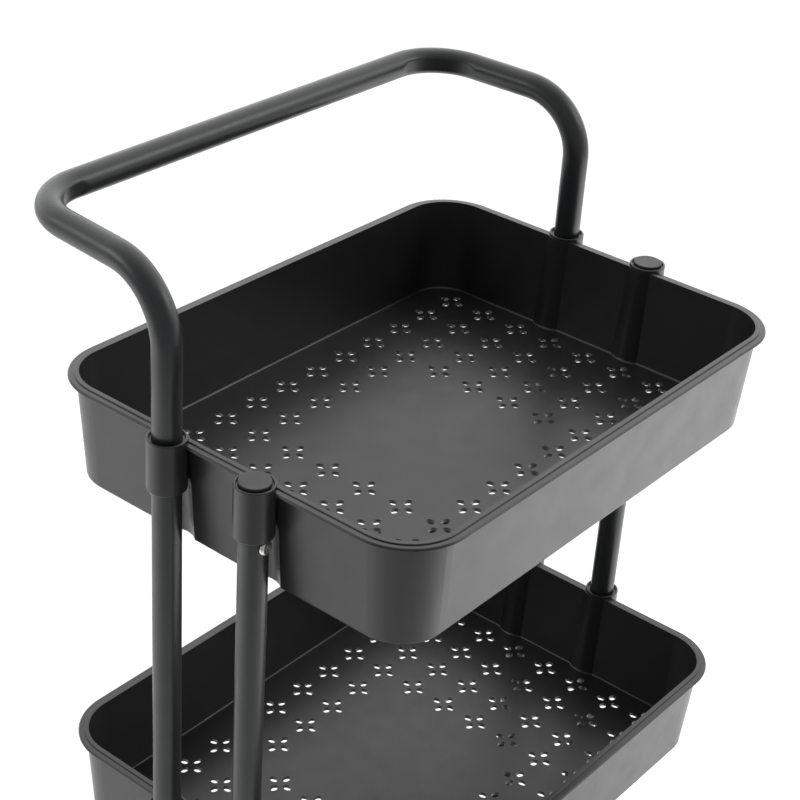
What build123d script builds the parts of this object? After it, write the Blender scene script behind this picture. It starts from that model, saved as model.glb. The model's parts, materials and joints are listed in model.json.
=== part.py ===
from build123d import *
import os

# Three-tier rolling utility trolley with moulded plastic trays on steel tube posts.
# Units are millimetres. X runs along the trays' long sides, +Y towards the handle, +Z up.
# The origin is on the ground under the middle of the whole trolley.

# ---- Driving dimensions -------------------------------------------------------------

# Tray, all heights measured down from its rim
INNER_LENGTH = 400.0       # inside the rim, along X
INNER_WIDTH = 296.2        # inside the rim, along Y
INNER_CORNER = 34.0
WALL = 2.0
DRAFT = 4.1                # degrees, the tray is wider at its rim
TRAY_DEPTH = 77.0
FLOOR = 3.2
FOOT_RIM = 1.0             # how far the edge of the underside stands below the floor
FOOT_RIM_INSET = 13.5      # of its inner side, from the inner edge of the rim above
OUTER_BOTTOM_ROUND = 2.5
INNER_BOTTOM_ROUND = 2.0
LIP_REACH = 8.1            # beyond the inner edge of the rim
LIP_CORNER = 44.1          # outer corners of the lip, where it narrows
LIP_DROP = 0.8             # flat of the lip below the bead's crest
LIP_UNDERSIDE = 2.6
LIP_ROUND = 1.35           # upper outer edge of the lip
LIP_UNDER_ROUND = 0.3
BEAD_REACH = 3.4
BEAD_ROUND = 0.7

# Flower perforation in the tray floors
PETAL_LONG = 4.8           # half lengths of an oval petal
PETAL_SHORT = 2.6
PETAL_CENTRE = 6.92        # from the middle of its flower
FLOWER_PITCH_X = 31.75
FLOWER_PITCH_Y = 31.55
FLOWER_COLUMNS = 12
FLOWER_ROWS = 8
BLANK_HALF_COLUMNS = 2     # plain field in the middle, counted from the centre lines
BLANK_HALF_ROWS = 2
FLOWER_SHIFT_Y = 2.95      # the pattern sits slightly towards the handle

# Tube frame
TUBE_R = 9.5
TUBE_WALL = 1.0
SWAGE_R = 8.2              # reduced end that plugs into the next tube
SWAGE_WALL = 1.0
SWAGE_CONE = 3.0
SWAGE_LENGTH = 30.0
POST_X = 210.5
POST_Y = 36.5              # each side of the posts' middle
POST_SHIFT_Y = 0.9         # the posts' middle from the tray's, towards the handle
SOCKET_R = 13.0
SOCKET_BORE_R = 9.75
SOCKET_LENGTH = 34.6       # below the rim
SOCKET_RISE = 2.0          # above the rim
SOCKET_FOOT_ROUND = 1.5
SOCKET_MOUTH_R = 11.3      # recess round the tube in the top of a socket
SOCKET_MOUTH = 1.6
SOCKET_RING_ROUND = 0.75   # both edges of the ring left round that recess
SOCKET_BASE = 2.5          # closed end of the bottom tray's sockets
CHANNEL_R = 12.0           # of the channel in the wall behind a post, at the rim
CHANNEL_BLEND = 3.5        # where the wall turns into that channel
WEB_WIDTH = 8.0
WEB_SHORTFALL = 2.0        # the web ends this far above the socket's foot
JOINT_DEPTH = 20.0         # where two tubes meet, below the rim

# Handle, heights above the top rim and distances from the trays' middle
HANDLE_CORNER_Z = 106.8
HANDLE_BAR_Z = 109.8
HANDLE_BAR_Y = 170.8
HANDLE_BAR_X = 201.5
LEG_BEND_R = 45.5
BAR_BEND_R = 42.5

# Levels
BOTTOM_RIM = 160.0
TIER_PITCH = 293.8
MIDDLE_RIM = BOTTOM_RIM + TIER_PITCH
TOP_RIM = MIDDLE_RIM + TIER_PITCH

# The handle overhangs the trays behind, so their middle lies in front of the origin
TRAY_Y = -(HANDLE_BAR_Y + TUBE_R - INNER_WIDTH / 2 - LIP_REACH) / 2

# Front post caps
CAP_R = 10.2
CAP_RISE = 1.5             # above the socket's ring
CAP_ROUND = 0.5
CAP_GAP = 0.5              # between the cap's seat and the end of the post
CAP_PLUG_R = 8.3
CAP_PLUG_WALL = 1.5
CAP_PLUG_LENGTH = 14.0

# Screws
SCREW_HEAD_R = 4.9
SCREW_HEAD_H = 2.1
SCREW_PLAY = 0.3
SCREW_SEAT = 0.05          # between a tube's wall and the screw's head
SCREW_SHANK_R = 1.7
SCREW_SHANK = 8.0
SCREW_HOLE_R = 1.9
SCREW_DROP = SOCKET_LENGTH + SCREW_HEAD_R + SCREW_PLAY   # the sockets rest on these heads
RECESS_WIDTH = 1.0
RECESS_DEPTH = 1.2

# Foot plugs in the lower ends of the posts
PLUG_R = 8.45
PLUG_LENGTH = 22.0
PLUG_CHAMFER = 1.5

# Castors
CASTOR_X = 5 * FLOWER_PITCH_X
CASTOR_Y = 3 * FLOWER_PITCH_Y
WHEEL_R = 25.0
WHEEL_WIDTH = 20.0
TYRE_THICK = 5.0
TRAIL = 14.0
FORK_TOP = 61.5
FORK_R = 11.5
HOOD_GAP = 1.3
HOOD_THICK = 3.2
CHEEK = 3.0
CHEEK_GAP = 0.8
AXLE_R = 3.0
EYE_R = 7.5                # rounded lower end of a cheek, round the axle
RUNNING_GAP = 0.05         # radial, between parts that turn on each other
SNUG_GAP = 0.02            # radial, between parts that stay together
SPIGOT_R = 5.0
RIVET_R = 7.0
RIVET_TOP = 54.0
RIVET_BOTTOM = 51.2
WASHER_R = 10.0
STEM_R = 5.5
STEM_TOP = 81.0
BOSS_R = 12.5
BOSS_BOTTOM = 66.0
BOSS_HEADROOM = 1.5        # of the bore above the stem
SLEEVE_R = 7.9
SLEEVE_FLANGE_R = 11.0
SLEEVE_FLANGE = 1.5
BOSS_BORE_R = 8.0
RIB_REACH = 24.0
RIB_THICK = 2.0
RIB_HEIGHT = 12.0
RIB_TOE = 2.5
HOOD_START = 12.0          # degrees round the axle, from the swivel side
HOOD_END = 160.0

# Brake pedals on the castors at the handle end
PEDAL_WIDTH = 19.0
PEDAL_ANGLE = 128.0        # of the pivot, round the axle
PEDAL_PIVOT_R = 31.5
PEDAL_BARREL_R = 3.4
PEDAL_LENGTH = 22.0
PEDAL_THICK = 3.0
PEDAL_PIN_R = 1.6
EAR_R = 4.0
EAR_INSET = 0.9            # how far the ears stand in from the cheeks' inner faces

os.makedirs("parts", exist_ok=True)


def save(piece, name):
    """Label a finished piece and write it under its own name."""
    piece.part.label = name
    export_step(piece.part, f"parts/{name}.step")


def level(z):
    """Horizontal plane at a height, with its origin at the trays' middle."""
    return Plane((0, TRAY_Y, z))


# ---- Trays --------------------------------------------------------------------------

POST_PLACES = [
    (x, POST_SHIFT_Y + y) for x in (-POST_X, POST_X) for y in (-POST_Y, POST_Y)
]


def flower_places():
    """Middles of the flowers: a lattice round a plain rectangular field."""
    places = []
    for column in range(FLOWER_COLUMNS):
        for row in range(FLOWER_ROWS):
            from_middle_x = column - (FLOWER_COLUMNS - 1) / 2
            from_middle_y = row - (FLOWER_ROWS - 1) / 2
            in_blank_x = abs(from_middle_x) < BLANK_HALF_COLUMNS
            in_blank_y = abs(from_middle_y) < BLANK_HALF_ROWS
            if not (in_blank_x and in_blank_y):
                x = from_middle_x * FLOWER_PITCH_X
                y = from_middle_y * FLOWER_PITCH_Y + FLOWER_SHIFT_Y
                places.append((x, y))
    return places


def socket_blank(rim):
    """Outside of one post socket, standing at X = 0 in the middle of the tray."""
    with BuildPart() as socket:
        with BuildSketch(level(rim + SOCKET_RISE)):
            Circle(SOCKET_R)
        extrude(amount=-SOCKET_LENGTH - SOCKET_RISE)
        fillet(socket.edges().group_by(Axis.Z)[0], SOCKET_FOOT_ROUND)
        fillet(socket.edges().group_by(Axis.Z)[-1], SOCKET_RING_ROUND)
    return socket.part


def wall_outline(z, grow=0.0):
    """Outer line of the walls at the rim, notched behind the posts, drawn at a height."""
    with BuildSketch(level(z)) as outline:
        RectangleRounded(INNER_LENGTH + 2 * WALL, INNER_WIDTH + 2 * WALL, INNER_CORNER + WALL)
        with Locations(*POST_PLACES):
            Circle(CHANNEL_R, mode=Mode.SUBTRACT)
        notch_ends = outline.vertices().filter_by(
            lambda v: abs(v.X) > INNER_LENGTH / 2 and abs(v.Y - TRAY_Y) < POST_Y + SOCKET_R
        )
        fillet(notch_ends, CHANNEL_BLEND)
        if grow:
            offset(amount=grow)
    return outline.sketch


def moulded_tray(rim, closed_sockets=False, castor_bosses=False):
    """A drafted tray with a rolled lip, four post sockets and a perforated floor."""
    underside = rim - TRAY_DEPTH + FOOT_RIM
    inside_floor = underside + FLOOR
    socket = socket_blank(rim)
    with BuildPart() as tray:
        # Drafted shell, with a channel in the short walls behind each post
        extrude(wall_outline(rim), amount=-TRAY_DEPTH, taper=DRAFT)
        fillet(tray.faces().sort_by(Axis.Z)[0].edges(), OUTER_BOTTOM_ROUND)

        # Lip: a thin flange round the rim, then the bead that stands on it
        with BuildSketch(level(rim - LIP_UNDERSIDE)):
            RectangleRounded(
                INNER_LENGTH + 2 * LIP_REACH, INNER_WIDTH + 2 * LIP_REACH, LIP_CORNER
            )
        flange = extrude(amount=LIP_UNDERSIDE - LIP_DROP)
        fillet(flange.edges().group_by(Axis.Z)[-1], LIP_ROUND)
        fillet(flange.edges().group_by(Axis.Z)[0], LIP_UNDER_ROUND)
        bead = extrude(wall_outline(rim - LIP_UNDERSIDE, BEAD_REACH - WALL), amount=LIP_UNDERSIDE)
        fillet(bead.edges().group_by(Axis.Z)[-1], BEAD_ROUND)

        # Sockets that hold the posts, each joined to the channel by a web
        with Locations(*POST_PLACES):
            add(socket)
        web_length = POST_X - INNER_LENGTH / 2
        web_x = POST_X - SOCKET_BORE_R - web_length / 2
        with BuildSketch(level(rim - LIP_UNDERSIDE)):
            with Locations((0, POST_SHIFT_Y)):
                with GridLocations(2 * web_x, 2 * POST_Y, 2, 2):
                    Rectangle(web_length, WEB_WIDTH)
        extrude(amount=LIP_UNDERSIDE - SOCKET_LENGTH + WEB_SHORTFALL)

        # Hollow inside, with a rounded foot to the walls
        hollow = wall_outline(rim, -WALL)
        extrude(hollow, amount=inside_floor - rim, taper=DRAFT, mode=Mode.SUBTRACT)
        inner_floor = tray.faces().filter_by(Axis.Z).filter_by(
            lambda f: abs(f.center().Z - inside_floor) < WALL / 10
        )
        fillet(inner_floor.edges(), INNER_BOTTOM_ROUND)

        # Underside of the floor, raised inside a foot rim
        with BuildSketch(level(underside)):
            RectangleRounded(
                INNER_LENGTH - 2 * FOOT_RIM_INSET,
                INNER_WIDTH - 2 * FOOT_RIM_INSET,
                INNER_CORNER / 2,
            )
        extrude(amount=-FOOT_RIM, mode=Mode.SUBTRACT)

        # Post bores, each with a recess in its mouth
        with BuildSketch(level(rim + SOCKET_RISE)):
            with Locations(*POST_PLACES):
                Circle(SOCKET_BORE_R)
        bore_depth = SOCKET_LENGTH - SOCKET_BASE if closed_sockets else SOCKET_LENGTH
        extrude(amount=-bore_depth - SOCKET_RISE, mode=Mode.SUBTRACT)
        with BuildSketch(level(rim + SOCKET_RISE)):
            with Locations(*POST_PLACES):
                Circle(SOCKET_MOUTH_R)
        extrude(amount=-SOCKET_MOUTH, mode=Mode.SUBTRACT)
        mouths = tray.edges().group_by(Axis.Z)[-1].filter_by(
            lambda e: abs(e.radius - SOCKET_MOUTH_R) < WALL / 10
        )
        fillet(mouths, SOCKET_RING_ROUND)
        if closed_sockets:
            with BuildSketch(level(rim - SOCKET_LENGTH)):
                with Locations(*POST_PLACES):
                    Circle(SCREW_HOLE_R)
            extrude(amount=SOCKET_BASE, mode=Mode.SUBTRACT)

        if castor_bosses:
            boss_height = underside - BOSS_BOTTOM
            with GridLocations(2 * CASTOR_X, 2 * CASTOR_Y, 2, 2) as corners:
                corner_places = corners.locations
            with BuildSketch(level(BOSS_BOTTOM)):
                with Locations(*corner_places):
                    Circle(BOSS_R)
            extrude(amount=boss_height + FLOOR / 2)
            for corner in corner_places:
                foot = level(underside).origin + corner.position
                for along in (Vector(1, 0, 0), Vector(0, 1, 0)):
                    rib_plane = Plane(foot, x_dir=along, z_dir=along.cross(Vector(0, 0, 1)))
                    with BuildSketch(rib_plane):
                        with BuildLine():
                            Polyline(
                                (-RIB_REACH, FLOOR / 2),
                                (RIB_REACH, FLOOR / 2),
                                (RIB_REACH, -RIB_TOE),
                                (BOSS_R, -RIB_HEIGHT),
                                (-BOSS_R, -RIB_HEIGHT),
                                (-RIB_REACH, -RIB_TOE),
                                close=True,
                            )
                        make_face()
                    extrude(amount=RIB_THICK / 2, both=True)
            with BuildSketch(level(BOSS_BOTTOM)):
                with Locations(*corner_places):
                    Circle(BOSS_BORE_R)
            extrude(amount=STEM_TOP + BOSS_HEADROOM - BOSS_BOTTOM, mode=Mode.SUBTRACT)

        # Flowers of four oval petals through the floor
        with BuildSketch(level(inside_floor)):
            with Locations(*flower_places()):
                with PolarLocations(PETAL_CENTRE, 4):
                    Ellipse(PETAL_LONG, PETAL_SHORT)
        extrude(amount=-FLOOR, mode=Mode.SUBTRACT)
    return tray


save(moulded_tray(TOP_RIM), "top_tray")
save(moulded_tray(MIDDLE_RIM), "middle_tray")
save(moulded_tray(BOTTOM_RIM, closed_sockets=True, castor_bosses=True), "bottom_tray")


# ---- Posts and handle ---------------------------------------------------------------

SIDES = {"left": -POST_X, "right": POST_X}
ENDS = {"front": TRAY_Y + POST_SHIFT_Y - POST_Y, "rear": TRAY_Y + POST_SHIFT_Y + POST_Y}
OUTWARD = {"front": -1, "rear": 1}


def screw_hole(x, y, z, outward):
    """Round profile of a stop screw's hole, on a tube's axis and facing out of its wall."""
    with BuildSketch(Plane((x, y, z), x_dir=(1, 0, 0), z_dir=(0, outward, 0))) as hole:
        Circle(SCREW_HOLE_R)
    return hole.sketch


def upper_post(x, y, top, outward):
    """Tube from the top tray's socket to the middle one, with a swaged lower end."""
    shoulder = MIDDLE_RIM - JOINT_DEPTH
    tip = shoulder - SWAGE_LENGTH
    with BuildPart() as post:
        with BuildSketch(Plane.XZ.offset(-y)):
            with BuildLine():
                Polyline(
                    (x + TUBE_R - TUBE_WALL, top),
                    (x + TUBE_R, top),
                    (x + TUBE_R, shoulder),
                    (x + SWAGE_R, shoulder - SWAGE_CONE),
                    (x + SWAGE_R, tip),
                    (x + SWAGE_R - SWAGE_WALL, tip),
                    (x + SWAGE_R - SWAGE_WALL, shoulder - SWAGE_CONE),
                    (x + TUBE_R - TUBE_WALL, shoulder),
                    close=True,
                )
            make_face()
        revolve(axis=Axis((x, y, 0), (0, 0, 1)))
        for rim in (TOP_RIM, MIDDLE_RIM):
            hole = screw_hole(x, y, rim - SCREW_DROP, outward)
            extrude(hole, amount=2 * TUBE_R, mode=Mode.SUBTRACT)
    return post


def lower_post(x, y, outward):
    """Tube from the middle tray's socket down to the closed socket of the bottom one."""
    foot = BOTTOM_RIM - SOCKET_LENGTH + SOCKET_BASE
    top = MIDDLE_RIM - JOINT_DEPTH - SWAGE_CONE
    with BuildPart() as post:
        with BuildSketch(Plane((x, y, foot))):
            Circle(TUBE_R)
            Circle(TUBE_R - TUBE_WALL, mode=Mode.SUBTRACT)
        extrude(amount=top - foot)
        hole = screw_hole(x, y, MIDDLE_RIM - SCREW_DROP, outward)
        extrude(hole, amount=2 * TUBE_R, mode=Mode.SUBTRACT)
    return post


CAP_SEAT = TOP_RIM + SOCKET_RISE - SOCKET_MOUTH
for end, post_y in ENDS.items():
    upper_top = CAP_SEAT - CAP_GAP if end == "front" else TOP_RIM - JOINT_DEPTH - SWAGE_CONE
    for side, post_x in SIDES.items():
        save(upper_post(post_x, post_y, upper_top, OUTWARD[end]), f"upper_post_{end}_{side}")
        save(lower_post(post_x, post_y, OUTWARD[end]), f"lower_post_{end}_{side}")

# Push handle: one tube bent back from the rear sockets and across behind the trays
leg_y = ENDS["rear"]
leg_foot = TOP_RIM - JOINT_DEPTH
corner_z = TOP_RIM + HANDLE_CORNER_Z
bar_y = TRAY_Y + HANDLE_BAR_Y
bar_z = TOP_RIM + HANDLE_BAR_Z
with BuildPart() as handle_tube:
    with BuildLine() as handle_path:
        FilletPolyline(
            (-POST_X, leg_y, leg_foot),
            (-POST_X, leg_y, corner_z),
            (-HANDLE_BAR_X, bar_y, bar_z),
            (HANDLE_BAR_X, bar_y, bar_z),
            (POST_X, leg_y, corner_z),
            (POST_X, leg_y, leg_foot),
            radius=[LEG_BEND_R, BAR_BEND_R, BAR_BEND_R, LEG_BEND_R],
        )
    with BuildSketch(Plane((-POST_X, leg_y, leg_foot))):
        Circle(TUBE_R)
        Circle(TUBE_R - TUBE_WALL, mode=Mode.SUBTRACT)
    sweep(path=handle_path.line)
    for foot_x in SIDES.values():
        with BuildSketch(Plane.XZ.offset(-leg_y)):
            with BuildLine():
                Polyline(
                    (foot_x + TUBE_R - TUBE_WALL, leg_foot),
                    (foot_x + TUBE_R, leg_foot),
                    (foot_x + SWAGE_R, leg_foot - SWAGE_CONE),
                    (foot_x + SWAGE_R, leg_foot - SWAGE_LENGTH),
                    (foot_x + SWAGE_R - SWAGE_WALL, leg_foot - SWAGE_LENGTH),
                    (foot_x + SWAGE_R - SWAGE_WALL, leg_foot - SWAGE_CONE),
                    close=True,
                )
            make_face()
        revolve(axis=Axis((foot_x, leg_y, 0), (0, 0, 1)))
        hole = screw_hole(foot_x, leg_y, TOP_RIM - SCREW_DROP, OUTWARD["rear"])
        extrude(hole, amount=2 * TUBE_R, mode=Mode.SUBTRACT)
save(handle_tube, "handle_tube")

# Caps that close the front posts, standing a little proud of their sockets
for side, cap_x in SIDES.items():
    with BuildPart() as post_cap:
        with BuildSketch(Plane((cap_x, ENDS["front"], CAP_SEAT))):
            Circle(CAP_R)
        extrude(amount=SOCKET_MOUTH + CAP_RISE)
        fillet(post_cap.edges().group_by(Axis.Z)[-1], CAP_ROUND)
        with BuildSketch(Plane((cap_x, ENDS["front"], CAP_SEAT))):
            Circle(CAP_PLUG_R)
            Circle(CAP_PLUG_R - CAP_PLUG_WALL, mode=Mode.SUBTRACT)
        extrude(amount=-CAP_PLUG_LENGTH)
    save(post_cap, f"post_cap_{side}")

# Plugs in the lower ends of the posts, which the foot screws bite into
for end, plug_y in ENDS.items():
    for side, plug_x in SIDES.items():
        plug_foot = BOTTOM_RIM - SOCKET_LENGTH + SOCKET_BASE
        with BuildPart() as foot_plug:
            with BuildSketch(Plane((plug_x, plug_y, plug_foot))):
                Circle(PLUG_R)
            extrude(amount=PLUG_LENGTH)
            chamfer(foot_plug.edges().group_by(Axis.Z)[-1], PLUG_CHAMFER)
            with BuildSketch(Plane((plug_x, plug_y, plug_foot))):
                Circle(SCREW_HOLE_R)
            extrude(amount=PLUG_LENGTH, mode=Mode.SUBTRACT)
        save(foot_plug, f"foot_plug_{end}_{side}")


# ---- Screws -------------------------------------------------------------------------


def pan_head_screw(place, shank):
    """Pan-head screw with a cross recess; the place's normal points out of its head."""
    with BuildPart(mode=Mode.PRIVATE) as screw:
        with BuildSketch(place):
            Circle(SCREW_HEAD_R)
        extrude(amount=SCREW_HEAD_H)
        top_edge = screw.edges().filter_by(GeomType.CIRCLE).sort_by_distance(
            place.offset(SCREW_HEAD_H).origin
        )
        fillet(top_edge[0], SCREW_HEAD_H * 0.85)
        with BuildSketch(place):
            Circle(SCREW_SHANK_R)
        extrude(amount=-shank)
        with BuildSketch(place.offset(SCREW_HEAD_H)):
            Rectangle(SCREW_HEAD_R, RECESS_WIDTH)
            Rectangle(RECESS_WIDTH, SCREW_HEAD_R)
        extrude(amount=-RECESS_DEPTH, mode=Mode.SUBTRACT)
    return screw.part


head_seat = TUBE_R + SCREW_SEAT
stop_screws_solids = []
foot_screws_solids = []
for end, screw_y in ENDS.items():
    for screw_x in SIDES.values():
        for rim_z in (TOP_RIM, MIDDLE_RIM):
            seat_y = screw_y + OUTWARD[end] * head_seat
            seat = Plane(
                (screw_x, seat_y, rim_z - SCREW_DROP), x_dir=(1, 0, 0), z_dir=(0, OUTWARD[end], 0)
            )
            stop_screws_solids.append(pan_head_screw(seat, SCREW_SHANK))
        under = Plane(
            (screw_x, screw_y, BOTTOM_RIM - SOCKET_LENGTH), x_dir=(1, 0, 0), z_dir=(0, 0, -1)
        )
        foot_screws_solids.append(pan_head_screw(under, SCREW_SHANK + SOCKET_BASE))

with BuildPart() as stop_screws:
    add(stop_screws_solids)
save(stop_screws, "stop_screws")
with BuildPart() as foot_screws:
    add(foot_screws_solids)
save(foot_screws, "foot_screws")


# ---- Castors ------------------------------------------------------------------------


def castor(name, x, y, with_brake):
    """A swivel castor under one corner of the bottom tray, its wheel trailing to +Y."""
    axis = Axis((x, y, 0), (0, 0, 1))
    side_plane = Plane((x, y + TRAIL, WHEEL_R), x_dir=(0, -1, 0), z_dir=(-1, 0, 0))
    slot_half = WHEEL_WIDTH / 2 + CHEEK_GAP
    fork_half = slot_half + CHEEK
    hood_inner = WHEEL_R + HOOD_GAP
    hood_outer = hood_inner + HOOD_THICK
    washer_bottom = FORK_TOP + 0.2
    stem_flange_top = BOSS_BOTTOM - SLEEVE_FLANGE
    stem_flange_bottom = stem_flange_top - 1.5

    # Sleeve pressed into the tray's boss
    with BuildPart() as sleeve:
        with BuildSketch(Plane((x, y, stem_flange_top))):
            Circle(SLEEVE_FLANGE_R)
        extrude(amount=SLEEVE_FLANGE)
        with BuildSketch(Plane((x, y, BOSS_BOTTOM))):
            Circle(SLEEVE_R)
        extrude(amount=STEM_TOP - BOSS_BOTTOM)
        with BuildSketch(Plane((x, y, stem_flange_top))):
            Circle(STEM_R + RUNNING_GAP)
        extrude(amount=STEM_TOP - stem_flange_top, mode=Mode.SUBTRACT)
    save(sleeve, f"{name}_sleeve")

    # Stem: shaft, flange, spigot through the fork and riveted foot
    with BuildPart() as stem:
        with BuildSketch(Plane.XZ.offset(-y)):
            with BuildLine():
                Polyline(
                    (x, RIVET_BOTTOM),
                    (x + RIVET_R - 1, RIVET_BOTTOM),
                    (x + RIVET_R, RIVET_BOTTOM + 1),
                    (x + RIVET_R, RIVET_TOP),
                    (x + SPIGOT_R, RIVET_TOP),
                    (x + SPIGOT_R, stem_flange_bottom),
                    (x + SLEEVE_FLANGE_R - 2, stem_flange_bottom),
                    (x + SLEEVE_FLANGE_R - 2, stem_flange_top),
                    (x + STEM_R, stem_flange_top),
                    (x + STEM_R, STEM_TOP - 1),
                    (x + STEM_R - 1, STEM_TOP),
                    (x, STEM_TOP),
                    close=True,
                )
            make_face()
        revolve(axis=axis)
    save(stem, f"{name}_stem")

    # Bearing washer between the stem's flange and the fork
    with BuildPart() as washer:
        with BuildSketch(Plane((x, y, washer_bottom))):
            Circle(WASHER_R)
            Circle(SPIGOT_R + 0.3, mode=Mode.SUBTRACT)
        extrude(amount=stem_flange_bottom - washer_bottom)
    save(washer, f"{name}_washer")

    # Hooded fork that swivels on the spigot
    hood_start = Vector(hood_outer, 0).rotate(Axis.Z, HOOD_START)
    hood_end = Vector(hood_outer, 0).rotate(Axis.Z, HOOD_END)
    eye_right = Vector(EYE_R, 0).rotate(Axis.Z, -30)
    eye_left = Vector(EYE_R, 0).rotate(Axis.Z, 210)
    pedal_pivot = Vector(PEDAL_PIVOT_R, 0).rotate(Axis.Z, PEDAL_ANGLE)
    with BuildPart() as fork:
        with BuildSketch(side_plane):
            with BuildLine():
                CenterArc((0, 0), hood_outer, HOOD_START, HOOD_END - HOOD_START)
                Line(hood_end, eye_left)
                CenterArc((0, 0), EYE_R, 210, 120)
                Line(eye_right, hood_start)
            make_face()
        extrude(amount=fork_half, both=True)
        side_edges = fork.edges().filter_by(
            lambda e: abs(abs(e.center().X - x) - fork_half) < RUNNING_GAP
        )
        fillet(side_edges, 1.2)
        with BuildSketch(Plane((x, y, WHEEL_R + hood_inner * 0.7))):
            Circle(FORK_R)
        extrude(amount=FORK_TOP - WHEEL_R - hood_inner * 0.7)
        fillet(fork.edges().group_by(Axis.Z)[-1], 1.0)
        if with_brake:
            for outward in (1, -1):
                with BuildSketch(side_plane.offset(outward * (slot_half - EAR_INSET))):
                    with Locations(pedal_pivot):
                        Circle(EAR_R)
                extrude(amount=outward * (CHEEK + EAR_INSET))
        with BuildSketch(side_plane):
            Circle(hood_inner)
        extrude(amount=slot_half, both=True, mode=Mode.SUBTRACT)
        with BuildSketch(side_plane):
            with Locations((0, -hood_outer / 2)):
                Rectangle(3 * hood_outer, hood_outer)
        extrude(amount=slot_half, both=True, mode=Mode.SUBTRACT)
        with BuildSketch(Plane((x, y, WHEEL_R))):
            Circle(RIVET_R + 0.5)
        extrude(amount=RIVET_TOP + 0.2 - WHEEL_R, mode=Mode.SUBTRACT)
        with BuildSketch(Plane((x, y, RIVET_TOP))):
            Circle(SPIGOT_R + RUNNING_GAP)
        extrude(amount=FORK_TOP - RIVET_TOP, mode=Mode.SUBTRACT)
        with BuildSketch(side_plane):
            Circle(AXLE_R + SNUG_GAP)
        extrude(amount=fork_half, both=True, mode=Mode.SUBTRACT)
        if with_brake:
            # Window in the hood for the pedal's shoe, and the pin's bore
            with BuildSketch(side_plane):
                with BuildLine():
                    window_near = Vector(hood_outer + 3, 0).rotate(Axis.Z, PEDAL_ANGLE - 10)
                    window_far = Vector(hood_outer + 3, 0).rotate(Axis.Z, HOOD_END + 6)
                    window_out = (window_near + window_far) * 0.75
                    Polyline((0, 0), window_near, window_out, window_far, close=True)
                make_face()
            extrude(amount=slot_half - EAR_INSET, both=True, mode=Mode.SUBTRACT)
            with BuildSketch(side_plane):
                with Locations(pedal_pivot):
                    Circle(PEDAL_PIN_R + SNUG_GAP)
            extrude(amount=fork_half, both=True, mode=Mode.SUBTRACT)
    save(fork, f"{name}_fork")

    # Axle with a head outside each cheek
    with BuildPart() as axle:
        with BuildSketch(side_plane):
            Circle(AXLE_R)
        extrude(amount=fork_half, both=True)
        for outward in (1, -1):
            with BuildSketch(side_plane.offset(outward * fork_half)):
                Circle(AXLE_R * 1.5)
            extrude(amount=outward * 1.4)
        heads = axle.edges().filter_by(GeomType.CIRCLE).sort_by(Axis.X)
        fillet([heads[0], heads[-1]], 0.9)
    save(axle, f"{name}_axle")

    # Wheel core turning on the axle
    core_r = WHEEL_R - TYRE_THICK
    with BuildPart() as wheel:
        with BuildSketch(side_plane):
            Circle(core_r)
        extrude(amount=WHEEL_WIDTH / 2 - 1, both=True)
        for outward in (1, -1):
            with BuildSketch(side_plane.offset(outward * WHEEL_WIDTH / 2)):
                Circle(core_r - 3)
                Circle(AXLE_R * 2, mode=Mode.SUBTRACT)
            extrude(amount=-outward * (WHEEL_WIDTH / 2 - 2.5), mode=Mode.SUBTRACT)
            with BuildSketch(side_plane.offset(outward * 2.5)):
                Circle(AXLE_R * 2)
            extrude(amount=outward * (WHEEL_WIDTH / 2 - 2))
        with BuildSketch(side_plane):
            Circle(AXLE_R + RUNNING_GAP)
        extrude(amount=WHEEL_WIDTH, both=True, mode=Mode.SUBTRACT)
    save(wheel, f"{name}_wheel")

    # Soft tread round the core
    with BuildPart() as tyre:
        with BuildSketch(side_plane):
            Circle(WHEEL_R)
            Circle(core_r + SNUG_GAP, mode=Mode.SUBTRACT)
        extrude(amount=WHEEL_WIDTH / 2, both=True)
        rounded = tyre.edges().filter_by(GeomType.CIRCLE).filter_by(
            lambda e: abs(e.radius - WHEEL_R) < RUNNING_GAP
        )
        fillet(rounded, 3.0)
    save(tyre, f"{name}_tyre")

    if with_brake:
        castor_brake(name, side_plane, pedal_pivot, fork_half)


def castor_brake(name, side_plane, pivot, fork_half):
    """Foot pedal on a pin behind the hood, with a shoe that bears on the tread."""
    with BuildPart() as pedal:
        with BuildSketch(side_plane):
            with Locations(pivot):
                Circle(PEDAL_BARREL_R)
            with BuildLine():
                # Arm above, shoe below, both from the barrel
                Polyline(
                    pivot + Vector(0, PEDAL_BARREL_R),
                    pivot + Vector(-PEDAL_LENGTH, 0.8),
                    pivot + Vector(-PEDAL_LENGTH, 0.8 - PEDAL_THICK),
                    pivot + Vector(-5.0, -2.9),
                    pivot + Vector(-4.5, -9.5),
                    pivot + Vector(0.2, -6.5),
                    pivot + Vector(PEDAL_BARREL_R - 0.6, -1.5),
                    close=True,
                )
            make_face()
        extrude(amount=PEDAL_WIDTH / 2, both=True)
        tip_edges = pedal.edges().filter_by(Axis.X).sort_by(Axis.Y)[-2:]
        fillet(tip_edges, PEDAL_THICK * 0.4)
        with BuildSketch(side_plane):
            with Locations(pivot):
                Circle(PEDAL_PIN_R + RUNNING_GAP)
        extrude(amount=PEDAL_WIDTH, both=True, mode=Mode.SUBTRACT)
    save(pedal, f"{name}_brake_pedal")

    with BuildPart() as brake_pin:
        with BuildSketch(side_plane):
            with Locations(pivot):
                Circle(PEDAL_PIN_R)
        extrude(amount=fork_half - 0.2, both=True)
    save(brake_pin, f"{name}_brake_pin")


for end, castor_y in (("front", TRAY_Y - CASTOR_Y), ("rear", TRAY_Y + CASTOR_Y)):
    for side, castor_x in (("left", -CASTOR_X), ("right", CASTOR_X)):
        castor(f"castor_{end}_{side}", castor_x, castor_y, with_brake=end == "rear")
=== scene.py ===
import json
import math

import bmesh
import bpy
from mathutils import Matrix, Vector


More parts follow.
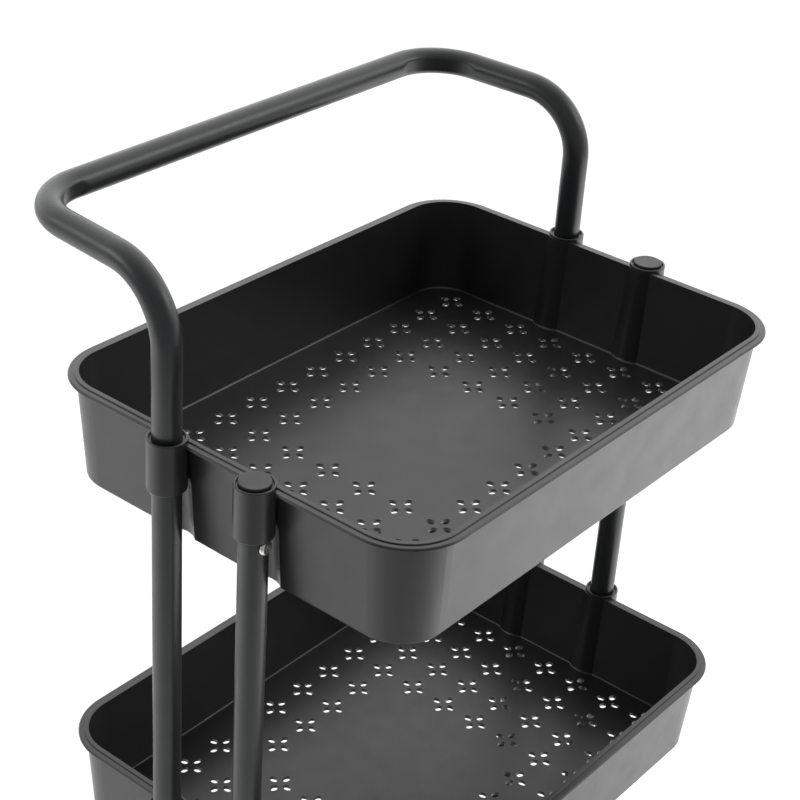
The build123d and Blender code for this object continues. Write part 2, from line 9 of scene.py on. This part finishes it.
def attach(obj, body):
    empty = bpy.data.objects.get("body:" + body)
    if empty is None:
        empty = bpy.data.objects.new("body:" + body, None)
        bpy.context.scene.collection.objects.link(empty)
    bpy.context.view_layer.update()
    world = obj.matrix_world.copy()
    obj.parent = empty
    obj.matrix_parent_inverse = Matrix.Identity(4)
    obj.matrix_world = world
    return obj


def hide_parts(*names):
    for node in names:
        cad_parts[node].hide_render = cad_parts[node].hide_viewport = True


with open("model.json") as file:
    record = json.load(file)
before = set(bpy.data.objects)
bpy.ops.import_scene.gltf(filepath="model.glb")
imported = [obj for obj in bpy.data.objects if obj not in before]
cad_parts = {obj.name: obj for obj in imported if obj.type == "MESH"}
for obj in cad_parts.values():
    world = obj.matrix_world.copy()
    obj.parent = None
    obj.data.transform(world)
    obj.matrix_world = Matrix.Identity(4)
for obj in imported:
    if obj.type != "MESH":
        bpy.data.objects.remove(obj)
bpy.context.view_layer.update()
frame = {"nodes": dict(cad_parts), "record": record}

# Everything is in metres, in the frame of the CAD model: X along the trays, +Y to the
# handle, +Z up.
MM = 0.001
nodes = frame["nodes"]
scene = bpy.context.scene


# ---- Camera, light and floor ---------------------------------------------------------

CAMERA_AT = (-0.8989, -0.6773, 1.3499)
CAMERA_AZIMUTH = -52.54        # degrees, 0 looks along +Y
CAMERA_ELEVATION = 30.06
CAMERA_ROLL = 4.04
CAMERA_LENS = 85.12            # mm, on a sensor 36 mm wide


def make_camera():
    data = bpy.data.cameras.new("camera")
    data.lens = CAMERA_LENS
    data.sensor_width = 36.0
    data.clip_end = 50.0
    camera = bpy.data.objects.new("camera", data)
    turn = Matrix.Rotation(math.radians(CAMERA_AZIMUTH), 4, "Z")
    tilt = Matrix.Rotation(math.radians(90 - CAMERA_ELEVATION), 4, "X")
    roll = Matrix.Rotation(math.radians(CAMERA_ROLL), 4, "Z")
    camera.matrix_world = Matrix.Translation(CAMERA_AT) @ turn @ tilt @ roll
    scene.collection.objects.link(camera)
    scene.camera = camera


def area_light(name, at, aim, size, power):
    """A soft square light that faces the point aim."""
    data = bpy.data.lights.new(name, "AREA")
    data.shape = "RECTANGLE"
    data.size = data.size_y = size
    data.energy = power
    light = bpy.data.objects.new(name, data)
    light.location = at
    light.rotation_euler = (Vector(aim) - Vector(at)).to_track_quat("-Z", "Y").to_euler()
    scene.collection.objects.link(light)


def ahead_of_camera(tree, place, near, far, low, high):
    """Value that rises from low to high between two distances along the camera's heading."""
    heading = math.radians(CAMERA_AZIMUTH)
    dot = tree.nodes.new("ShaderNodeVectorMath")
    dot.operation = "DOT_PRODUCT"
    dot.inputs[1].default_value = (-math.sin(heading), math.cos(heading), 0)
    tree.links.new(place, dot.inputs[0])
    ramp = tree.nodes.new("ShaderNodeMapRange")
    ramp.interpolation_type = "SMOOTHSTEP"
    ramp.inputs["From Min"].default_value = near
    ramp.inputs["From Max"].default_value = far
    ramp.inputs["To Min"].default_value = low
    ramp.inputs["To Max"].default_value = high
    tree.links.new(dot.outputs["Value"], ramp.inputs["Value"])
    return ramp.outputs["Result"]


def make_world():
    """Surroundings that look white, but light the trolley more from behind than from the camera."""
    world = bpy.data.worlds.new("studio")
    world.use_nodes = True
    tree = world.node_tree
    direction = tree.nodes.new("ShaderNodeTexCoord").outputs["Generated"]
    background = tree.nodes["Background"]
    background.inputs["Color"].default_value = (1.0, 1.0, 1.0, 1.0)
    strength = ahead_of_camera(tree, direction, *WORLD_RAMP, WORLD_BEHIND, WORLD_AHEAD)
    seen = tree.nodes.new("ShaderNodeMath")
    seen.operation = "MAXIMUM"
    tree.links.new(strength, seen.inputs[0])
    tree.links.new(tree.nodes.new("ShaderNodeLightPath").outputs["Is Camera Ray"], seen.inputs[1])
    tree.links.new(seen.outputs["Value"], background.inputs["Strength"])
    scene.world = world


def painted_light_patch(tree, place, middle, reach, strength):
    """Extra brightness of the floor round a point, fading out at reach: a painted pool of light,
    made by the floor's own glow.
    """
    distance = tree.nodes.new("ShaderNodeVectorMath")
    distance.operation = "DISTANCE"
    distance.inputs[1].default_value = middle
    tree.links.new(place, distance.inputs[0])
    fade = tree.nodes.new("ShaderNodeMapRange")
    fade.interpolation_type = "SMOOTHSTEP"
    fade.inputs["From Max"].default_value = reach
    fade.inputs["To Min"].default_value = strength
    fade.inputs["To Max"].default_value = FLOOR_GLOW
    tree.links.new(distance.outputs["Value"], fade.inputs["Value"])
    return fade.outputs["Result"]


def make_floor():
    """White floor that glows in two patches, painted pools of light; polished surfaces see it fall
    off towards the camera, a painted shade seen only in reflections.
    """
    bpy.ops.mesh.primitive_grid_add(x_subdivisions=8, y_subdivisions=8, size=FLOOR_SIZE)
    floor = bpy.context.object
    floor.name = "studio_floor"
    material = bpy.data.materials.new("studio_floor")
    material.use_nodes = True
    tree = material.node_tree
    shader = tree.nodes["Principled BSDF"]
    place = tree.nodes.new("ShaderNodeNewGeometry").outputs["Position"]
    falloff = ahead_of_camera(tree, place, *FLOOR_RAMP, FLOOR_NEAR_CAMERA, FLOOR_WHITE)
    in_gloss = tree.nodes.new("ShaderNodeLightPath").outputs["Is Glossy Ray"]
    mix = tree.nodes.new("ShaderNodeMix")
    mix.inputs["A"].default_value = FLOOR_WHITE
    tree.links.new(in_gloss, mix.inputs["Factor"])
    tree.links.new(falloff, mix.inputs["B"])
    tree.links.new(mix.outputs["Result"], shader.inputs["Base Color"])
    shader.inputs["Roughness"].default_value = FLOOR_ROUGHNESS
    shader.inputs["Emission Color"].default_value = (1, 1, 1, 1)
    both = tree.nodes.new("ShaderNodeMath")
    tree.links.new(painted_light_patch(tree, place, *PATCH_RIGHT), both.inputs[0])
    tree.links.new(painted_light_patch(tree, place, *PATCH_LEFT), both.inputs[1])
    tree.links.new(both.outputs["Value"], shader.inputs["Emission Strength"])
    floor.data.materials.append(material)


WORLD_BEHIND = 0.35            # brightness behind the camera and ahead of it
WORLD_AHEAD = 1.9
WORLD_RAMP = (-0.65, 0.95)     # cosines to the camera's heading, between which it rises
FLOOR_NEAR_CAMERA = 0.25       # what polished surfaces see of the floor near the camera
FLOOR_WHITE = 0.93
FLOOR_RAMP = (-1.6, -0.65)     # distances along the camera's heading from the trolley
FLOOR_SIZE = 16
FLOOR_ROUGHNESS = 0.9
FLOOR_GLOW = 0.04
# Patches where the floor glows round the lamps' aim points, painted pools of light
PATCH_RIGHT = ((1.1, -1.0, 0), 1.5, 1.5)       # middle, reach and strength
PATCH_LEFT = ((-1.2, 0.8, 0), 1.3, 0.6)
LIGHTS = {                     # place, the point it faces, side and watts
    "key": ((1.5, -1.6, 2.0), (1.0, -0.9, 0), 1.2, 14),
    "side": ((-1.8, 1.4, 1.6), (-1.2, 0.7, 0), 1.0, 10),
}

make_camera()
make_world()
make_floor()
for name, values in LIGHTS.items():
    area_light(name, *values)
scene.view_settings.view_transform = "Standard"
scene.cycles.use_denoising = True


# ---- Materials -----------------------------------------------------------------------

NOISE_MIDDLE = (0.3, 0.7)      # range that holds nearly all of a noise's values

# Noise scales per metre, and bump depths in metres
CLOUD_SCALE = 14               # slow change of a moulding's colour
SINK_SCALE, SINK_DEPTH = 22, 0.0006
SINK_STRENGTH = 0.35
MOULDED_SHEEN_SCALE = 60
GRAIN_SCALE, GRAIN_DEPTH = 1900, 0.00006
GRAIN_CONTRAST = 0.6
FLECK_SCALE = 900              # colour flecks of the powder coat
PEEL_SCALE, PEEL_DEPTH = 520, 0.00012
PEEL_STRENGTH = 0.6
COAT_SHEEN_SCALE = 80
STAIN_SCALE = 700              # mottling of the plating
STAIN_SHADE = 0.82
PLATE_SHEEN_SCALE = 1500
TURNING_SCALE, TURNING_DEPTH = 2600, 0.00002
TURNING_STRENGTH = 0.5


def new_material(name):
    material = bpy.data.materials.new(name)
    material.use_nodes = True
    tree = material.node_tree
    shader = tree.nodes["Principled BSDF"]
    coordinates = tree.nodes.new("ShaderNodeTexCoord")
    return material, tree, shader, coordinates.outputs["Object"]


def noise(tree, place, scale, detail=2.0, roughness=0.5):
    node = tree.nodes.new("ShaderNodeTexNoise")
    node.inputs["Scale"].default_value = scale
    node.inputs["Detail"].default_value = detail
    node.inputs["Roughness"].default_value = roughness
    tree.links.new(place, node.inputs["Vector"])
    return node.outputs["Fac"]


def spread(tree, value, low, high):
    """The middle of a noise, stretched to run from low to high."""
    node = tree.nodes.new("ShaderNodeMapRange")
    node.inputs["From Min"].default_value, node.inputs["From Max"].default_value = NOISE_MIDDLE
    node.inputs["To Min"].default_value = low
    node.inputs["To Max"].default_value = high
    tree.links.new(value, node.inputs["Value"])
    return node.outputs["Result"]


def tint(tree, value, dark, light):
    """Colour between two, by a noise."""
    node = tree.nodes.new("ShaderNodeMix")
    node.data_type = "RGBA"
    node.inputs["A"].default_value = (*dark, 1)
    node.inputs["B"].default_value = (*light, 1)
    tree.links.new(spread(tree, value, 0, 1), node.inputs["Factor"])
    return node.outputs["Result"]


def bump(tree, height, distance, strength, under=None):
    node = tree.nodes.new("ShaderNodeBump")
    node.inputs["Distance"].default_value = distance
    node.inputs["Strength"].default_value = strength
    tree.links.new(height, node.inputs["Height"])
    if under is not None:
        tree.links.new(under, node.inputs["Normal"])
    return node.outputs["Normal"]


def moulded_plastic(name, dark, light, sheen, grain=GRAIN_SCALE, depth=GRAIN_DEPTH):
    """Moulded plastic: fine spark-eroded grain, soft sink marks, and a little uneven sheen."""
    material, tree, shader, place = new_material(name)
    cloud = noise(tree, place, CLOUD_SCALE, 4)
    fine = noise(tree, place, grain, 1, GRAIN_CONTRAST)
    sink = noise(tree, place, SINK_SCALE, 1)
    rough = spread(tree, noise(tree, place, MOULDED_SHEEN_SCALE, 5), *sheen)
    wavy = bump(tree, sink, SINK_DEPTH, SINK_STRENGTH)
    tree.links.new(tint(tree, cloud, dark, light), shader.inputs["Base Color"])
    tree.links.new(rough, shader.inputs["Roughness"])
    tree.links.new(bump(tree, fine, depth, 1.0, wavy), shader.inputs["Normal"])
    return material


def powder_coat(name, dark, light, sheen):
    """Satin powder coat on steel: orange peel over a fine fleck."""
    material, tree, shader, place = new_material(name)
    fleck = noise(tree, place, FLECK_SCALE, 2)
    peel = noise(tree, place, PEEL_SCALE, 1)
    rough = spread(tree, noise(tree, place, COAT_SHEEN_SCALE, 4), *sheen)
    tree.links.new(tint(tree, fleck, dark, light), shader.inputs["Base Color"])
    tree.links.new(rough, shader.inputs["Roughness"])
    tree.links.new(bump(tree, peel, PEEL_DEPTH, PEEL_STRENGTH), shader.inputs["Normal"])
    return material


def plated_steel(name, colour, sheen):
    """Bright plated steel with fine turning marks and a mottled sheen."""
    material, tree, shader, place = new_material(name)
    shader.inputs["Metallic"].default_value = 1.0
    shade = [STAIN_SHADE * channel for channel in colour]
    stain = tint(tree, noise(tree, place, STAIN_SCALE, 3), shade, colour)
    rough = spread(tree, noise(tree, place, PLATE_SHEEN_SCALE, 2), *sheen)
    turning = noise(tree, place, TURNING_SCALE, 1)
    tree.links.new(stain, shader.inputs["Base Color"])
    tree.links.new(rough, shader.inputs["Roughness"])
    marks = bump(tree, turning, TURNING_DEPTH, TURNING_STRENGTH)
    tree.links.new(marks, shader.inputs["Normal"])
    return material


# Darker and lighter tint, the range of roughness, and for the tyre a coarser grain
MOULDED = {
    "tray_plastic": ((0.0115, 0.0115, 0.012), (0.015, 0.015, 0.0155), (0.29, 0.36)),
    "cap_plastic": ((0.013, 0.013, 0.014), (0.018, 0.018, 0.019), (0.42, 0.5)),
    "plug_plastic": ((0.012, 0.012, 0.013), (0.018, 0.018, 0.019), (0.45, 0.55)),
    "castor_plastic": ((0.009, 0.009, 0.0095), (0.013, 0.013, 0.0135), (0.34, 0.44)),
    "wheel_plastic": ((0.012, 0.012, 0.013), (0.018, 0.018, 0.019), (0.36, 0.46)),
    "tyre_rubber": ((0.014, 0.014, 0.014), (0.022, 0.022, 0.022), (0.6, 0.75), 1200, 0.00012),
    "pedal_plastic": ((0.06, 0.06, 0.065), (0.075, 0.075, 0.08), (0.4, 0.5)),
}
COATED = {"coated_tube": ((0.013, 0.0145, 0.0155), (0.018, 0.020, 0.021), (0.30, 0.38))}
PLATED = {
    "screw_steel": ((0.80, 0.79, 0.76), (0.14, 0.26)),
    "castor_steel": ((0.66, 0.67, 0.69), (0.2, 0.34)),
}
FINISH = {}
for make, table in ((moulded_plastic, MOULDED), (powder_coat, COATED), (plated_steel, PLATED)):
    for name, values in table.items():
        FINISH[name] = make(name, *values)

SLOT_OF = {s["node"]: s["material_slot"] for s in frame["record"]["subparts"]}
for name, node in nodes.items():
    node.data.materials.clear()
    node.data.materials.append(FINISH[SLOT_OF[name]])


# ---- Push handle ---------------------------------------------------------------------

LEG_X, LEG_Y = 210.5 * MM, 25.35 * MM       # the handle's legs, in the rear sockets
LEG_CORNER_Z = 854.4 * MM
BAR_X, BAR_Y, BAR_Z = 201.5 * MM, 158.75 * MM, 857.4 * MM
LEG_BEND, BAR_BEND = 45.5 * MM, 42.5 * MM   # centre-line radii
TUBE_R, SWAGE_R = 9.5 * MM, 8.2 * MM
WALL = 1.0 * MM
LEG_FOOT_Z = 727.6 * MM
SWAGE_CONE, SWAGE_LENGTH = 3 * MM, 30 * MM
BEND_FLAT = 1.3 * MM                        # how far a bend's inner side is pressed in
BEND_FADE = 6 * MM                          # length over which the flat fades out
FADE_STEPS = 4
RING_SIDES = 64
BEND_STEPS = 28


def bend_points(before, corner, after, radius):
    """Points round a rounded corner, with the direction to the bend's inner side."""
    into, out = (corner - before).normalized(), (after - corner).normalized()
    turn = into.angle(out)
    reach = radius * math.tan(turn / 2)
    inner = (out - into).normalized()
    centre = corner + inner * (radius / math.cos(turn / 2))
    start = corner - into * reach
    axis = into.cross(out).normalized()
    points = []
    for step in range(BEND_STEPS + 1):
        spin = Matrix.Rotation(turn * step / BEND_STEPS, 3, axis)
        place = centre + spin @ (start - centre)
        points.append((place, (centre - place).normalized()))
    return points


def handle_stations():
    """Centre line of the tube from one swaged foot to the other.

    Each station is a place, a radius, the depth of the flat and its direction."""
    foot = Vector((-LEG_X, LEG_Y, LEG_FOOT_Z))
    corners = [
        Vector((-LEG_X, LEG_Y, LEG_CORNER_Z)),
        Vector((-BAR_X, BAR_Y, BAR_Z)),
        Vector((BAR_X, BAR_Y, BAR_Z)),
        Vector((LEG_X, LEG_Y, LEG_CORNER_Z)),
    ]
    ends = [foot, *corners, Vector((LEG_X, LEG_Y, LEG_FOOT_Z))]
    up = Vector((0, 0, 1))
    swage = [
        (foot - up * SWAGE_LENGTH, SWAGE_R),
        (foot - up * SWAGE_CONE, SWAGE_R),
        (foot, TUBE_R),
    ]
    stations = [(place, radius, 0.0, None) for place, radius in swage]
    for i, radius in enumerate((LEG_BEND, BAR_BEND, BAR_BEND, LEG_BEND)):
        bend = bend_points(ends[i], ends[i + 1], ends[i + 2], radius)
        into = (ends[i + 1] - ends[i]).normalized()
        out = (ends[i + 2] - ends[i + 1]).normalized()
        (first, first_inner), (last, last_inner) = bend[0], bend[-1]
        shares = [step / FADE_STEPS for step in range(1, FADE_STEPS + 1)]
        for share in reversed(shares):
            place = first - into * BEND_FADE * share
            stations.append((place, TUBE_R, BEND_FLAT * (1 - share), first_inner))
        stations += [(place, TUBE_R, BEND_FLAT, inner) for place, inner in bend]
        for share in shares:
            place = last + out * BEND_FADE * share
            stations.append((place, TUBE_R, BEND_FLAT * (1 - share), last_inner))
    other = Vector((LEG_X, LEG_Y, LEG_FOOT_Z))
    stations += [(other + (place - foot), radius, 0.0, None) for place, radius in reversed(swage)]
    return stations


def tube_rings(stations):
    """Corner points of each station's ring, kept from twisting along the tube."""
    rings = []
    side = Vector((1, 0, 0))
    for i, (place, radius, flat, inner) in enumerate(stations):
        before = stations[max(i - 1, 0)][0]
        after = stations[min(i + 1, len(stations) - 1)][0]
        along = (after - before).normalized()
        side = (side - along * side.dot(along)).normalized()
        other = along.cross(side)
        ring = []
        for k in range(RING_SIDES):
            angle = 2 * math.pi * k / RING_SIDES
            offset = (side * math.cos(angle) + other * math.sin(angle)) * radius
            if flat:
                over = offset.dot(inner) - (radius - flat)
                if over > 0:
                    offset -= inner * over
            ring.append(place + offset)
        rings.append(ring)
    return rings


def make_handle():
    """The bent tube with its bends' inner sides pressed flat by the bending tool."""
    stations = handle_stations()
    shell = bmesh.new()
    outer = [[shell.verts.new(p) for p in ring] for ring in tube_rings(stations)]
    bore = [(place, radius - WALL, flat, inward) for place, radius, flat, inward in stations]
    inner = [[shell.verts.new(p) for p in ring] for ring in tube_rings(bore)]
    for rings, flip in ((outer, False), (inner, True)):
        for one, two in zip(rings, rings[1:]):
            for k in range(RING_SIDES):
                n = (k + 1) % RING_SIDES
                corners = (one[k], one[n], two[n], two[k])
                shell.faces.new(corners[::-1] if flip else corners)
    for one, two in ((inner[0], outer[0]), (outer[-1], inner[-1])):
        for k in range(RING_SIDES):
            n = (k + 1) % RING_SIDES
            shell.faces.new((one[k], one[n], two[n], two[k]))
    for face in shell.faces:
        face.smooth = True
    mesh = bpy.data.meshes.new("handle_bent_tube")
    shell.to_mesh(mesh)
    shell.free()
    handle = bpy.data.objects.new("handle_bent_tube", mesh)
    scene.collection.objects.link(handle)
    mesh.materials.append(FINISH["coated_tube"])
    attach(handle, "trolley")
    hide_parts("handle_tube")


make_handle()


# ---- Tray floors ---------------------------------------------------------------------

TRAY_Y = -12.05 * MM
RIM_Z = {"top_tray": 747.6 * MM, "middle_tray": 453.8 * MM}
FLOOR_TOP, FLOOR_UNDER = -72.8 * MM, -76.0 * MM     # CAD heights, from the rim
RAISE_TOP, RAISE_UNDER = 0.3 * MM, 0.85 * MM        # to a floor drawn 2.65 mm thick
FLOWER_PITCH = (31.75 * MM, 31.55 * MM)
FLOWER_SHIFT = 2.95 * MM
PETAL = (6.92 * MM, 4.8 * MM, 2.6 * MM)             # CAD centre and half lengths
PETAL_DRAWN = (6.85 * MM, 3.45 * MM, 2.5 * MM)
ON_EDGE = 0.06                                      # of an ellipse equation, whose edge is at 1
ON_PLANE = 0.02 * MM


def lattice_offset(value, pitch):
    """Distance from the nearest flower's middle; the middles stand half a pitch off centre."""
    return value - (math.floor(value / pitch) + 0.5) * pitch


def petal_edge(along, across):
    """A point of a CAD petal's edge, moved to the drawn edge; None for any other point."""
    centre, long, short = PETAL
    u, v = (abs(along) - centre) / long, across / short
    if abs(u * u + v * v - 1) > ON_EDGE:
        return None
    centre, long, short = PETAL_DRAWN
    return math.copysign(centre + u * long, along), v * short


def mould_floor(name):
    """Stands for a CAD tray, with smaller petals and a slightly thinner floor."""
    cad = nodes[name]
    tray = bpy.data.objects.new(name + "_moulding", cad.data.copy())
    scene.collection.objects.link(tray)
    tray.matrix_world = cad.matrix_world.copy()
    to_local = cad.matrix_world.inverted()
    for vertex in tray.data.vertices:
        place = cad.matrix_world @ vertex.co
        depth = place.z - RIM_Z[name]
        at_top = abs(depth - FLOOR_TOP) < ON_PLANE
        at_under = abs(depth - FLOOR_UNDER) < ON_PLANE
        if not (at_top or at_under):
            continue
        dx = lattice_offset(place.x, FLOWER_PITCH[0])
        dy = lattice_offset(place.y - TRAY_Y - FLOWER_SHIFT, FLOWER_PITCH[1])
        along_x = abs(dx) > abs(dy)
        moved = petal_edge(dx, dy) if along_x else petal_edge(dy, dx)
        if moved:
            new_x, new_y = moved if along_x else reversed(moved)
            place.x += new_x - dx
            place.y += new_y - dy
        place.z += RAISE_TOP if at_top else RAISE_UNDER
        vertex.co = to_local @ place
    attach(tray, "trolley")
    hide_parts(name)


for name in RIM_Z:
    mould_floor(name)
